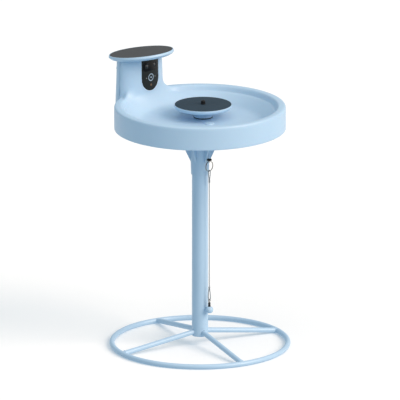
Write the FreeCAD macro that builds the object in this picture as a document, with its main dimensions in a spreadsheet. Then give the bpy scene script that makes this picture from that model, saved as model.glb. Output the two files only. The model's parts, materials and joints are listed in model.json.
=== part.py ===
"""Solar bird bath: a shallow basin on a pole with a ring base, a camera tower that carries
a solar panel, a solar fountain that stands in the water, and a cord that opens the drain.

Frame: millimetres, +Z up, origin on the pole's axis at the ground. The camera tower stands
on the +Y side of the basin and looks towards -Y, and the drain cord hangs on the -Y side.
"""
import FreeCAD, Part
import Sketcher
import math
import os
import re

Vector = FreeCAD.Vector
Rotation = FreeCAD.Rotation
X_AXIS = Vector(1, 0, 0)
Y_AXIS = Vector(0, 1, 0)
Z_AXIS = Vector(0, 0, 1)

doc = FreeCAD.newDocument("bird_bath")

# ---------------------------------------------------------------- driving dimensions

SIZES = {
    # stand
    "ring_mean_r": 205.8, "bar_r": 6, "spoke_top_z": 35.6, "spoke_turn": -19.2,
    "pole_r": 19, "pole_wall": 1.5, "pole_foot_z": 23.5, "pole_top_z": 480,
    "spigot_gap": 0.2, "spigot_wall": 2.3, "spigot_top_z": 120, "notch_gap": 0.2,
    "pole_cap_head": 3, "pole_cap_skirt": 15, "pole_screw_z": 80, "pole_screw_r": 2,
    # hub under the basin
    "slide_gap": 0.3, "hub_wall": 2.6, "hub_foot_z": 415, "hub_seat": 4, "hub_top_z": 531,
    "flange_r": 62, "flange_wall": 4, "rib_foot_z": 445, "rib_knee_r": 33, "rib_knee_z": 469,
    "rib_tip_r": 58, "rib_wall": 3.5, "rib_turn": 15, "hub_screw_circle_r": 50, "hub_screw_r": 2,
    # basin
    "basin_r": 200, "basin_foot_z": 525, "basin_top_z": 580, "skirt_wall": 3.5, "rim_round": 6,
    "rim_inner_r": 181, "ledge_r": 171, "ledge_z": 566, "floor_r": 140, "floor_z": 541,
    "floor_wall": 3.5, "floor_flat_r": 100, "floor_rise": 1.5, "foot_round": 3,
    # camera tower
    "tower_y": 190.5, "tower_foot_z": 527, "tower_mid_z": 600, "tower_end_z": 690,
    "tower_foot_a": 73.8, "tower_foot_b": 39, "tower_mid_a": 70.3, "tower_mid_b": 37.2,
    "tower_end_a": 66.3, "tower_end_b": 35.8, "tower_wall": 3, "split_y": 190, "seal_wall": 1,
    # faceplate and camera
    "face_half": 28.5, "face_arc_z": 617.3, "face_wall": 1.8, "face_opening_half": 24,
    "window_half": 25.2, "window_low_z": 636, "window_high_z": 660, "window_wall": 0.9,
    "window_round": 9, "lens_spacing": 25, "lens_z": 648.5, "lens_barrel_r": 7.5,
    "icon_z": 620, "icon_outer_r": 9, "icon_inner_r": 6.8, "led_x": 14.5, "led_r": 1.5,
    "sensor_z": 602, "sensor_r": 2.8,
    # solar panel on the tower
    "panel_y": 183, "panel_z": 662.1, "panel_tilt": 8, "panel_cell_r": 73.9,
    "panel_rim": 1.5, "panel_deep": 14, "panel_flat_r": 50, "panel_wall": 2.2, "cell_wall": 1.3,
    # fountain
    "fountain_x": 33, "fountain_y": 20, "disc_r": 67.5, "disc_cell_r": 66, "disc_low_z": 563.5,
    "disc_top_z": 572.5, "pump_r": 22, "pump_foot_z": 541.4, "pump_wall": 2, "pump_base_wall": 2.2,
    "riser_r": 4, "riser_bore_r": 2.6, "riser_top_z": 579.5, "nozzle_r": 5.6, "nozzle_top_z": 582.5,
    "impeller_r": 9.5, "impeller_low_z": 544.4, "impeller_high_z": 553, "shaft_r": 1,
    "running_gap": 0.08,
    # drain valve
    "drain_y": -29.3, "drain_hole_r": 5, "chamber_r": 8.3, "chamber_wall": 2.2,
    "chamber_foot_z": 507, "poppet_r": 7.2, "poppet_low_z": 534, "poppet_wall": 2.5,
    "stem_r": 2, "guide_wall": 3, "spring_r": 4.4, "spring_wire_r": 0.4, "spring_turns": 7,
    "stem_cap_r": 5.7, "stem_cap_low_z": 451.9, "stem_cap_high_z": 455.9,
    # pull ring, cord and ball
    "pull_pivot_z": 450.2, "ring_r": 12, "ring_wire_r": 1.1, "cord_r": 1, "loop_half": 3.2,
    "cord_top_z": 396, "upper_knot_top_z": 408, "cord_foot_z": 147, "lower_knot_foot_z": 142,
    "knot_r": 2.4, "eye_z": 112.6, "eye_r": 3, "eye_wire_r": 1, "barrel_r": 2.9,
    "barrel_top_z": 108.2, "barrel_foot_z": 98, "ball_z": 90.3, "ball_r": 9.2, "ball_half_high": 8,
    # rear of the tower
    "button_z": 612, "button_r": 5, "port_z": 560, "port_half_wide": 10.7, "port_half_high": 5.6,
}

sheet = doc.addObject("Spreadsheet::Sheet", "dims")
for row, (alias, number) in enumerate(SIZES.items(), start=1):
    sheet.set(f"A{row}", alias)
    sheet.set(f"B{row}", str(number))
    sheet.setAlias(f"B{row}", alias)
doc.recompute()

# ---------------------------------------------------------------- helpers

parts = {}
WORD = re.compile(r"[a-z][a-z_]+")


def value(words):
    """The number that an expression of the sheet's aliases stands for."""
    return float(sheet.evalExpression(str(words)))


def bound(words):
    """The same expression, as an object outside the sheet writes it."""
    return WORD.sub(lambda found: "dims." + found.group(0), str(words))


def bind(thing, **expressions):
    """Bind properties of an object to expressions, and return the object."""
    for name, words in expressions.items():
        thing.setExpression(name, bound(words))
    return thing


def at(thing, x="0", y="0", z="0", turn=None):
    """Place an object at a point given by expressions, turned by a rotation."""
    if turn is not None:
        thing.Placement = FreeCAD.Placement(Vector(), turn)
    for letter, words in zip("xyz", (x, y, z)):
        thing.setExpression("Placement.Base." + letter, bound(words))
    return thing


def cylinder(name, radius, height, **place):
    rod = doc.addObject("Part::Cylinder", name)
    return at(bind(rod, Radius=radius, Height=height), **place)


def box(name, wide, deep, high, **place):
    block = doc.addObject("Part::Box", name)
    return at(bind(block, Length=wide, Width=deep, Height=high), **place)


def fuse(name, *things):
    joined = doc.addObject("Part::MultiFuse", name)
    joined.Shapes = list(things)
    joined.Refine = False
    return joined


def cut(name, base, *tools):
    """The base without the tools, one cut after another."""
    result = base
    for i, tool in enumerate(tools, start=1):
        step = doc.addObject("Part::Cut", name if i == len(tools) else f"{name}_{i}")
        step.Base = result
        step.Tool = tool
        step.Refine = False
        result = step
    return result


def common(name, *things):
    shared = doc.addObject("Part::MultiCommon", name)
    shared.Shapes = list(things)
    shared.Refine = False
    return shared


def finished(node, thing):
    """Name a sub-part, so that it is written to its own file."""
    thing.Label = node
    parts[node] = thing
    return thing


def plane_of(body, role):
    return next(f for f in body.Origin.OriginFeatures if f.Role == role)


def outline(sketch, corners):
    """A closed outline through corners, each (x, y) or (x, y, sag).

    The sag is how far the arc from a corner to the next bulges to the right of the way
    along; without one the stretch is straight.
    """
    spots = [Vector(value(corner[0]), value(corner[1]), 0) for corner in corners]
    starts = []
    ends = []
    for i, corner in enumerate(corners):
        a, b = spots[i], spots[(i + 1) % len(spots)]
        if len(corner) == 2:
            sketch.addGeometry(Part.LineSegment(a, b), False)
            starts.append(1)
            ends.append(2)
            continue
        side = Vector((b - a).y, -(b - a).x, 0).normalize()
        sag = value(corner[2])
        middle = (a + b) / 2 + side * sag
        first, last = (a, b) if sag > 0 else (b, a)
        sketch.addGeometry(Part.Arc(first, middle, last), False)
        starts.append(1 if sag > 0 else 2)
        ends.append(2 if sag > 0 else 1)
        sketch.addConstraint(Sketcher.Constraint("Radius", i, sketch.Geometry[i].Radius))
    for i, corner in enumerate(corners):
        after = (i + 1) % len(corners)
        sketch.addConstraint(Sketcher.Constraint("Coincident", i, ends[i], after, starts[after]))
        for kind, axis, words, number in (("DistanceX", -2, corner[0], spots[i].x),
                                          ("DistanceY", -1, corner[1], spots[i].y)):
            if abs(number) < 1e-9:
                sketch.addConstraint(Sketcher.Constraint("PointOnObject", i, starts[i], axis))
                continue
            corner_end = (i, starts[i])
            ends_in_order = (-1, 1, *corner_end) if number > 0 else (*corner_end, -1, 1)
            index = sketch.addConstraint(
                Sketcher.Constraint(kind, *ends_in_order, abs(number)))
            distance = words if number > 0 else f"-({words})"
            sketch.setExpression(f"Constraints[{index}]", bound(distance))


def sketched(body, name, role, corners):
    """A sketch of one closed outline on one of a body's origin planes."""
    sketch = body.newObject("Sketcher::SketchObject", name)
    sketch.AttachmentSupport = [(plane_of(body, role), "")]
    sketch.MapMode = "FlatFace"
    outline(sketch, corners)
    return sketch


def turned(name, corners):
    """A body turned about +Z from an outline of (radius, height) corners."""
    body = doc.addObject("PartDesign::Body", name)
    sketch = sketched(body, name + "_outline", "XZ_Plane", corners)
    turn = body.newObject("PartDesign::Revolution", name + "_turn")
    turn.Profile = sketch
    turn.ReferenceAxis = (sketch, ["V_Axis"])
    turn.Angle = 360
    return body


def padded(name, role, corners, length, midplane=True):
    """A body padded from an outline on an origin plane."""
    body = doc.addObject("PartDesign::Body", name)
    sketch = sketched(body, name + "_outline", role, corners)
    pad = body.newObject("PartDesign::Pad", name + "_pad")
    pad.Profile = sketch
    pad.Midplane = midplane
    return body, bind(pad, Length=length), sketch


def tube(inner, outer, low, high):
    """The outline of a plain tube."""
    return [(inner, low), (outer, low), (outer, high), (inner, high)]


def disc(outer, low, high):
    """The outline of a plain disc."""
    return tube("0", outer, low, high)


def group(name, make, places):
    """Identical separate solids, joined into one node."""
    return fuse(name, *[make(f"{name}_{i}", *place) for i, place in enumerate(places, start=1)])


def around(count, radius, first):
    """Points evenly spaced on a circle about the pole's axis."""
    turns = [math.radians(first + 360 * i / count) for i in range(count)]
    return [(radius * math.cos(turn), radius * math.sin(turn)) for turn in turns]


# ---------------------------------------------------------------- stand


def make_stand():
    """Ring base, four rising spokes, an inner spigot, and the pole that slides over it."""
    ring = doc.addObject("Part::Torus", "ring_bar")
    finished("base_ring", at(bind(ring, Radius1="ring_mean_r", Radius2="bar_r"), z="bar_r"))

    spigot_r = "pole_r - pole_wall - spigot_gap"
    spigot_foot = "pole_foot_z + 0.5"
    spigot = turned("spigot", [
        ("0", spigot_foot), (spigot_r, spigot_foot), (spigot_r, "spigot_top_z"),
        (spigot_r + " - spigot_wall", "spigot_top_z"), (spigot_r + " - spigot_wall", "bar_r * 8"),
        ("0", "bar_r * 8")])

    pole = turned("pole_tube", tube("pole_r - pole_wall", "pole_r", "pole_foot_z", "pole_top_z"))

    drop = value("spoke_top_z - bar_r")
    reach = value("ring_mean_r")
    notches = []
    for i in range(4):
        turn = math.radians(value("spoke_turn") + 90 * i)
        along = Vector(reach * math.cos(turn), reach * math.sin(turn), -drop)
        lean = Rotation(Z_AXIS, along)
        bar = cylinder(f"spoke_bar_{i + 1}", "bar_r", str(along.Length), z="spoke_top_z", turn=lean)
        inside = cylinder(f"spoke_end_{i + 1}", spigot_r, "spoke_top_z * 2")
        finished(f"spoke_{i + 1}", cut(f"spoke_cut_{i + 1}", bar, ring, inside))
        notch = cylinder(f"notch_{i + 1}", "bar_r + notch_gap", "pole_r * 2", z="spoke_top_z",
                         turn=lean)
        mouth = box(f"notch_mouth_{i + 1}", "pole_r * 2", "(bar_r + notch_gap) * 2",
                    "spoke_top_z - pole_foot_z")
        mouth.Placement = FreeCAD.Placement(
            Rotation(Z_AXIS, math.degrees(turn)).multVec(
                Vector(0, -value("bar_r + notch_gap"), value("pole_foot_z - 4"))),
            Rotation(Z_AXIS, math.degrees(turn)))
        notches += [notch, mouth]

    screws = []
    for i, turn in enumerate((5, 85), start=1):
        out = Vector(math.cos(math.radians(turn)), math.sin(math.radians(turn)), 0)
        shank = cylinder(f"pole_screw_shank_{i}", "pole_screw_r", "7",
                         turn=Rotation(Z_AXIS, out))
        head = cylinder(f"pole_screw_head_{i}", "pole_screw_r * 1.9", "2",
                        turn=Rotation(Z_AXIS, out))
        for piece, start in ((shank, value("pole_r") - 6.8), (head, value("pole_r"))):
            piece.setExpression("Placement.Base.x", str(start * out.x))
            piece.setExpression("Placement.Base.y", str(start * out.y))
            piece.setExpression("Placement.Base.z", bound("pole_screw_z"))
        screws.append(fuse(f"pole_screw_{i}", shank, head))
    finished("pole_screws", fuse("pole_screw_pair", *screws))
    shanks = [screw.Shapes[0] for screw in screws]
    finished("base_spigot", cut("spigot_drilled", spigot, *shanks))
    finished("pole", cut("pole_cut", pole, *notches, *shanks))

    cap_inner = "pole_r - pole_wall - 0.05"
    finished("pole_cap", turned("cap", [
        ("0", "pole_top_z"), (cap_inner + " - 2", "pole_top_z"),
        (cap_inner + " - 2", "pole_top_z - pole_cap_skirt"),
        (cap_inner, "pole_top_z - pole_cap_skirt"), (cap_inner, "pole_top_z"),
        ("pole_r - 0.2", "pole_top_z"), ("pole_r - 0.2", "pole_top_z + pole_cap_head"),
        ("0", "pole_top_z + pole_cap_head")]))


# ---------------------------------------------------------------- basin and hub


def drain_bore(name, radius, low, high):
    return cylinder(name, radius, high + " - (" + low + ")", y="drain_y", z=low)


def make_hub():
    """Sleeve over the pole, six ribs, a screwed flange, and the drain's chamber."""
    seat = "pole_top_z + pole_cap_head + slide_gap"
    bore = "pole_r + slide_gap"
    outer = bore + " + hub_wall"
    sleeve = turned("sleeve", [
        (bore, "hub_foot_z"), ("pole_r + 2", "hub_foot_z"), (outer, "rib_foot_z"),
        (outer, "hub_top_z - flange_wall"), ("flange_r", "hub_top_z - flange_wall"),
        ("flange_r", "hub_top_z"), (bore, "hub_top_z"), (bore, seat + " + hub_seat"),
        ("0", seat + " + hub_seat"), ("0", seat), (bore, seat)])
    ribs = []
    for i in range(6):
        rib, _, _ = padded(f"rib_{i + 1}", "XZ_Plane", [
            ("pole_r + 1", "rib_foot_z"), (outer + " - 0.2", "rib_foot_z"),
            ("rib_knee_r", "rib_knee_z", "-1"), ("rib_tip_r", "hub_top_z - flange_wall + 1"),
            ("pole_r + 1", "hub_top_z - flange_wall + 1")], "rib_wall")
        rib.Placement = FreeCAD.Placement(Vector(), Rotation(Z_AXIS, value("rib_turn") + 60 * i))
        ribs.append(rib)
    chamber = drain_bore("chamber_boss", "chamber_r + chamber_wall", "chamber_foot_z", "hub_top_z")
    inner = cylinder("sleeve_bore", bore, seat + " - hub_foot_z + 1", z="hub_foot_z - 1")
    hollow = cylinder("column_bore", bore, "hub_top_z", z=seat + " + hub_seat")
    water_way = drain_bore("chamber_bore", "chamber_r", "chamber_foot_z - 1", "hub_top_z + 1")
    holes = [cylinder(f"hub_screw_hole_{i}", "hub_screw_r + 0.2", "flange_wall * 3", x=str(x),
                      y=str(y), z="hub_top_z - flange_wall * 2")
             for i, (x, y) in enumerate(hub_screw_places(), start=1)]
    finished("hub_mount", cut("hub_cut", fuse("hub_solid", sleeve, chamber, *ribs), inner, hollow,
                              water_way, *holes))
    finished("hub_screws", group("hub_screw", make_hub_screw, hub_screw_places()))


def hub_screw_places():
    return around(6, value("hub_screw_circle_r"), value("rib_turn") + 30)


def make_hub_screw(name, x, y):
    head = cylinder(name + "_head", "hub_screw_r * 2", "2.5", x=str(x), y=str(y),
                    z="hub_top_z - flange_wall - 2.5")
    shank = cylinder(name + "_shank", "hub_screw_r", "10", x=str(x), y=str(y),
                     z="hub_top_z - flange_wall - 0.1")
    return fuse(name, head, shank)


def tower_solid(name, inset, low, high):
    """The tower's oval column, drawn in by an inset, from one height to another."""
    rings = []
    for i, key in enumerate(("foot", "mid", "end"), start=1):
        ring = doc.addObject("Part::Ellipse", f"{name}_ring_{i}")
        bind(ring, MajorRadius=f"tower_{key}_a - ({inset})", MinorRadius=f"tower_{key}_b - ({inset})")
        rings.append(at(ring, y="tower_y", z=f"tower_{key}_z"))
    loft = doc.addObject("Part::Loft", name + "_loft")
    loft.Sections = rings
    loft.Solid = True
    room = box(name + "_room", "tower_foot_a * 4", "tower_foot_a * 4", f"{high} - ({low})",
               x="-tower_foot_a * 2", y="tower_y - tower_foot_a * 2", z=low)
    return common(name, loft, room)


def flare_solid(name, inset, low):
    """The foot of the tower where it sweeps out into the basin's floor and rim."""
    rings = []
    spreads = ((0, 38, 36), (8, 27, 26), (18, 16, 15), (30, 7, 6), (44, 0.3, 0.3), (62, -1.5, -1.5))
    for i, (rise, more_a, more_b) in enumerate(spreads, start=1):
        ring = doc.addObject("Part::Ellipse", f"{name}_ring_{i}")
        bind(ring, MajorRadius=f"tower_mid_a + {more_a} - ({inset})",
             MinorRadius=f"tower_mid_b + {more_b} - ({inset})")
        rings.append(at(ring, y="tower_y", z=f"floor_z + {rise}"))
    loft = doc.addObject("Part::Loft", name + "_loft")
    loft.Sections = rings
    loft.Solid = True
    limit = cylinder(name + "_limit", f"basin_r - 2 - ({inset})", "200", z=low)
    return common(name, loft, limit)


def half_space(name, y, sign):
    """A large block on one side of a plane across Y."""
    start = y if sign > 0 else f"({y}) - 400"
    return box(name, "800", "400", "900", x="-400", y=start, z="-50")


def y_rod(name, radius, x, z, low_y, high_y):
    """A rod along +Y."""
    return cylinder(name, radius, f"{high_y} - ({low_y})", x=x, y=low_y, z=z,
                    turn=Rotation(Z_AXIS, Y_AXIS))


def stadium(name, half, arc_z, top_z, low_y, high_y):
    """An upright prism along Y with straight sides and a round lower end."""
    block = box(name + "_block", f"({half}) * 2", f"{high_y} - ({low_y})", f"{top_z} - {arc_z}",
                x=f"-({half})", y=low_y, z=arc_z)
    return fuse(name, block, y_rod(name + "_arc", half, "0", arc_z, low_y, high_y))


def on_panel(thing):
    """Place a piece that was made about +Z on the tilted panel's axis."""
    return at(thing, y="panel_y", z="panel_z",
              turn=Rotation(X_AXIS, -value("panel_tilt")))


def panel_side():
    """The rounded underside of the panel's housing, from its flat bottom out to its rim."""
    return [("0", "0"), ("panel_flat_r", "0", "2.2"),
            ("panel_cell_r + panel_rim + 1.9", "panel_deep * 0.62")]


def panel_seat(name):
    """Everything above the panel's underside, to cut what carries the panel to fit it."""
    return on_panel(turned(name, panel_side() + [
        ("panel_cell_r + panel_rim + 1.9", "80"), ("0", "80")]))


def rear_screw_places():
    return [(str(side * 45), str(high)) for side in (-1, 1) for high in (549, 640)]


def make_tower_rooms():
    """The shapes that the basin and the rear cover are both cut from or to."""
    return {
        "outer": tower_solid("outer", "0", "tower_foot_z", "tower_end_z"),
        "bay": tower_solid("bay", "tower_wall", "tower_foot_z + tower_wall", "tower_end_z"),
        "seat": panel_seat("seat"),
        "behind": half_space("behind", "split_y", 1),
        "screw_holes": [y_rod(f"rear_screw_hole_{i}", "1.75", x, z, "177", "250")
                        for i, (x, z) in enumerate(rear_screw_places(), start=1)],
    }


def make_basin(rooms, face_blank):
    """The moulded basin with the front half of the camera tower."""
    skirt_in = "basin_r - skirt_wall"
    bowl = turned("bowl", [
        ("0", "floor_z - floor_wall"), ("floor_flat_r", "floor_z - floor_wall"),
        ("floor_r + 2", "floor_z + floor_rise - floor_wall", "5"),
        ("ledge_r + 5", "ledge_z - 2.5"), ("rim_inner_r + 1", "basin_top_z - 9"),
        (skirt_in, "basin_top_z - rim_round - 1"), (skirt_in, "basin_foot_z"),
        ("basin_r - foot_round", "basin_foot_z", "foot_round * 0.29289"),
        ("basin_r", "basin_foot_z + foot_round"),
        ("basin_r", "basin_top_z - rim_round", "rim_round * 0.29289"),
        ("basin_r - rim_round", "basin_top_z"), ("rim_inner_r + 3", "basin_top_z", "1"),
        ("rim_inner_r", "basin_top_z - 3"), ("ledge_r + 5", "ledge_z + 1.5"),
        ("ledge_r", "ledge_z", "-5"), ("floor_r", "floor_z + floor_rise"),
        ("floor_flat_r", "floor_z"), ("0", "floor_z")])
    flare = flare_solid("flare", "0", "floor_z")
    flare_bay = flare_solid("flare_bay", "tower_wall", "floor_z + 0.5")
    front = cut("front_half", fuse("front_mass", rooms["outer"], flare), rooms["behind"])
    rear_zone = common("rear_zone", tower_solid("rear_room", "-0.15", "tower_foot_z - 9",
                                                "tower_end_z"), rooms["behind"])
    hollow = cut("basin_hollow", fuse("basin_mass", bowl, front), rooms["bay"], flare_bay,
                 rear_zone)
    bosses = [y_rod(f"front_boss_{i}", "4", x, z,
                    "tower_y - 52" if float(z) < 600 else "tower_y - 25", "split_y")
              for i, (x, z) in enumerate(rear_screw_places(), start=1)]
    pads = []
    pilots = []
    for i, (x, y) in enumerate(hub_screw_places(), start=1):
        pads.append(cylinder(f"floor_boss_{i}", "hub_screw_r * 2.6", "floor_z - hub_top_z - 1",
                             x=str(x), y=str(y), z="hub_top_z"))
        pilots.append(cylinder(f"floor_pilot_{i}", "hub_screw_r", "7", x=str(x), y=str(y),
                               z="hub_top_z - 1"))
    drain_boss = drain_bore("drain_boss", "chamber_r + chamber_wall", "hub_top_z", "floor_z - 1")
    throat = drain_bore("drain_throat", "chamber_r", "hub_top_z - 1", "floor_z - floor_wall")
    drain = drain_bore("drain_hole", "drain_hole_r", "floor_z - floor_wall - 1", "floor_z + 1")
    opening = stadium("face_opening", "face_opening_half", "face_arc_z", "700", "100", "177")
    finished("basin", cut("basin_cut", fuse("basin_solid", hollow, *bosses, *pads, drain_boss),
                          rooms["seat"], face_blank, opening, drain, throat, *pilots,
                          *rooms["screw_holes"]))


def tower_skin(name, outer, depth, prism):
    """The outermost layer of the tower, as deep as asked, inside a prism."""
    inner = tower_solid(name + "_inner", depth, "tower_foot_z - 1", "tower_end_z")
    return common(name, cut(name + "_layer", outer, inner), prism)


def window_prism(name):
    """The lens window's rounded rectangle, as a prism along Y."""
    block = box(name + "_block", "window_half * 2", "60", "window_high_z - window_low_z",
                x="-window_half", y="120", z="window_low_z")
    rounded = doc.addObject("Part::Fillet", name)
    rounded.Base = block
    doc.recompute()
    radius = value("window_round")
    rounded.Edges = [(i, radius, radius) for i, edge in enumerate(block.Shape.Edges, start=1)
                     if abs(edge.tangentAt(edge.FirstParameter).y) > 0.99]
    return rounded


def make_faceplate(rooms):
    """The dark plate on the tower's front, its window, cameras, icon ring and sensors."""
    lens_places = [("camera_left", "-lens_spacing / 2"), ("camera_right", "lens_spacing / 2")]
    outer = rooms["outer"]
    blank = tower_skin("face_blank", outer, "face_wall", stadium(
        "face_prism", "face_half", "face_arc_z", "700", "100", "175"))
    ring_prism = cut("icon_room", y_rod("icon_disc", "icon_outer_r", "0", "icon_z", "100", "180"),
                     y_rod("icon_core", "icon_inner_r", "0", "icon_z", "90", "190"))
    led_prism = fuse("led_pair", *[y_rod(f"led_{i}", "led_r", x, "icon_z", "100", "180")
                                   for i, x in enumerate(("-led_x", "led_x"), start=1)])
    glass = tower_skin("glass", outer, "window_wall", window_prism("window_room"))
    ring = tower_skin("icon_skin", outer, "1", ring_prism)
    lights = tower_skin("led_skin", outer, "face_wall", led_prism)
    lens = tower_skin("sensor_skin", outer, "face_wall",
                      y_rod("sensor_rod", "sensor_r", "0", "sensor_z", "100", "180"))
    barrel_holes = [y_rod(node + "_hole", "lens_barrel_r + 0.1", x, "lens_z", "140", "180")
                    for node, x in lens_places]
    finished("camera_faceplate", cut("face_cut", blank, rooms["seat"], glass, ring, lights, lens,
                                     *barrel_holes))
    finished("lens_window", cut("window_cut", glass, rooms["seat"]))
    finished("icon_ring", ring)
    finished("indicator_lights", lights)
    finished("motion_sensor_lens", lens)
    for node, x in lens_places:
        barrel = y_rod(node + "_barrel", "lens_barrel_r", x, "lens_z",
                       "tower_y - tower_mid_b + 3.6", "tower_y - 18")
        base = box(node + "_base", "lens_barrel_r * 2.2", "4", "lens_barrel_r * 2",
                   x=x + " - lens_barrel_r * 1.1", y="tower_y - 18", z="lens_z - lens_barrel_r")
        finished(node, fuse(node + "_solid", barrel, base))
    return blank


def make_tower_inside():
    """The circuit board, speaker, battery cells in their holder, aerial and top plate."""
    board = box("board_blank", "56", "1.6", "92", x="-28", y="tower_y - 13", z="552")
    finished("main_board", board)
    finished("speaker", fuse("speaker_solid", y_rod("speaker_rim", "13", "0", "585", "161", "164"),
                             y_rod("speaker_magnet", "8", "0", "585", "164", "170")))
    cells = [cylinder(f"cell_{i}", "9.1", "65", x=x, y="tower_y + 12", z="556")
             for i, x in enumerate(("-34", "34"), start=1)]
    finished("battery_cells", fuse("cell_pair", *cells))
    cradles = [box(f"cradle_{i}", "22", "11", "69", x=x + " - 11", y="tower_y + 2.5", z="554")
               for i, x in enumerate(("-34", "34"), start=1)]
    bar = box("cradle_bar", "90", "2", "50", x="-45", y="tower_y + 2.2", z="565")
    finished("battery_holder", cut("cradle_cut", fuse("cradle", bar, *cradles), *cells))
    finished("wifi_aerial", box("aerial_blank", "40", "0.8", "12", x="-20", y="tower_y + 18",
                                z="632"))


def make_rear_cover(rooms):
    """The shell that closes the tower's back, its seal, screws and the socket's pocket."""
    wall_y = "split_y + seal_wall"
    beyond = half_space("beyond", wall_y, 1)
    shell = cut("rear_shell", common("rear_half", rooms["outer"], beyond), rooms["bay"])
    bosses = [y_rod(f"rear_boss_{i}", "4", x, z, wall_y, "tower_y + 28.5")
              for i, (x, z) in enumerate(rear_screw_places(), start=1)]
    heads = [y_rod(f"rear_head_room_{i}", "3.4", x, z, "tower_y + 25", "250")
             for i, (x, z) in enumerate(rear_screw_places(), start=1)]
    pocket = common("pocket_pad", rooms["outer"], box(
        "pocket_block", "32", "20", "22", x="-16", y="tower_y + 28", z="port_z - 12"))
    recess = box("port_recess", "(port_half_wide + 0.4) * 2", "20", "port_half_high * 2 + 3.2",
                 x="-port_half_wide - 0.4", y="tower_y + 34.6", z="port_z - port_half_high - 2.8")
    socket_room = box("socket_room", "9.2", "20", "3.6", x="-4.6", y="tower_y + 22",
                      z="port_z - 1.8")
    button_room = y_rod("button_room", "button_r + 0.3", "0", "button_z", "200", "250")
    finished("tower_rear_cover", cut("rear_cut", fuse("rear_solid", shell, *bosses, pocket),
                                     rooms["seat"], recess, socket_room, button_room, *heads,
                                     *rooms["screw_holes"]))
    slab = box("seal_slab", "300", "seal_wall", "300", x="-150", y="split_y", z="500")
    finished("rear_cover_seal", cut("seal_cut", common("seal_blank", rooms["outer"], slab),
                                    rooms["bay"], rooms["seat"]))
    screws = []
    for i, (x, z) in enumerate(rear_screw_places(), start=1):
        screws.append(fuse(f"rear_screw_{i}", y_rod(f"rear_screw_head_{i}", "3.2", x, z,
                                                        "tower_y + 25", "tower_y + 27"),
                           y_rod(f"rear_screw_shank_{i}", "1.7", x, z, "178", "tower_y + 25")))
    finished("rear_cover_screws", fuse("rear_screw_group", *screws))
    finished("charging_socket", cut(
        "socket_cut", box("socket_block", "9", "9", "3.4", x="-4.5", y="tower_y + 25",
                          z="port_z - 1.7"),
        box("socket_mouth", "7.4", "8", "2", x="-3.7", y="tower_y + 27", z="port_z - 1")))


def make_controls():
    """The power button and the flap over the charging socket."""
    finished("power_button", fuse("button_solid",
                                  y_rod("button_head", "button_r", "0", "button_z",
                                        "tower_y + 30", "tower_y + 38"),
                                  y_rod("button_flange", "button_r + 2", "0", "button_z",
                                        "tower_y + 29", "tower_y + 31")))
    pivot_z = "port_z - port_half_high - 1"
    flap = box("flap_plate", "port_half_wide * 2", "2.2", "port_half_high * 2 + 0.6",
               x="-port_half_wide", y="tower_y + 35.3", z="port_z - port_half_high - 0.6")
    knuckle = cylinder("flap_knuckle", "1.1", "port_half_wide * 2", x="-port_half_wide",
                       y="tower_y + 36.4", z=pivot_z, turn=Rotation(Z_AXIS, X_AXIS))
    plug = box("flap_plug", "6.8", "2", "1.6", x="-3.4", y="tower_y + 33.8", z="port_z - 0.8")
    finished("port_flap", fuse("flap_solid", flap, knuckle, plug))


def make_panel(rooms):
    """The tilted solar panel on top of the tower."""
    rim = "panel_cell_r + panel_rim"
    cavity = "panel_cell_r - 6"
    housing = turned("panel_dish", panel_side() + [
        (rim + " + 1.7", "panel_deep * 0.8"), (rim, "panel_deep"),
        ("panel_cell_r + 0.1", "panel_deep"),
        ("panel_cell_r + 0.1", "panel_deep - cell_wall - 0.2"),
        (cavity, "panel_deep - cell_wall - 0.2"), (cavity, "panel_deep * 0.6"),
        ("panel_flat_r", "panel_wall"), ("0", "panel_wall")])
    wire_hole = cylinder("panel_wire_hole", "6", "20", z="-10")
    spots = [(side * 30, deep * 15) for side in (-1, 1) for deep in (-1, 1)]
    shanks = [cylinder(f"panel_shank_{i}", "1.5", "panel_wall + 2.9", x=str(x), y=str(y), z="-2.8")
              for i, (x, y) in enumerate(spots, start=1)]
    heads = [cylinder(f"panel_head_{i}", "3", "1.8", x=str(x), y=str(y), z="panel_wall")
             for i, (x, y) in enumerate(spots, start=1)]
    screws = fuse("panel_screw_group", *[fuse(f"panel_screw_{i}", *pair)
                                         for i, pair in enumerate(zip(shanks, heads), start=1)])
    finished("panel_housing", on_panel(cut("panel_cut", housing, wire_hole, *shanks)))
    finished("panel_screws", on_panel(screws))
    plate_room = on_panel(cut("head_plate_slab", cylinder("head_plate_disc", "100", "3", z="-3"),
                              wire_hole, *shanks))
    inner = tower_solid("head_zone", "tower_wall + 0.3", "tower_mid_z", "tower_end_z")
    clear_front = half_space("head_front", "split_y - 30", -1)
    finished("tower_head_plate", cut("head_plate_cut", common("head_plate", inner, plate_room),
                                     clear_front))
    finished("solar_cell_panel", on_panel(turned("cell_disc", disc(
        "panel_cell_r", "panel_deep - cell_wall", "panel_deep - 0.1"))))
    finished("panel_seal", on_panel(turned("panel_seal_ring", tube(
        "panel_cell_r - 5", "panel_cell_r - 1", "panel_deep - cell_wall - 0.2",
        "panel_deep - cell_wall"))))


# ---------------------------------------------------------------- fountain


def in_fountain(thing):
    return at(thing, x="fountain_x", y="fountain_y")


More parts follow.
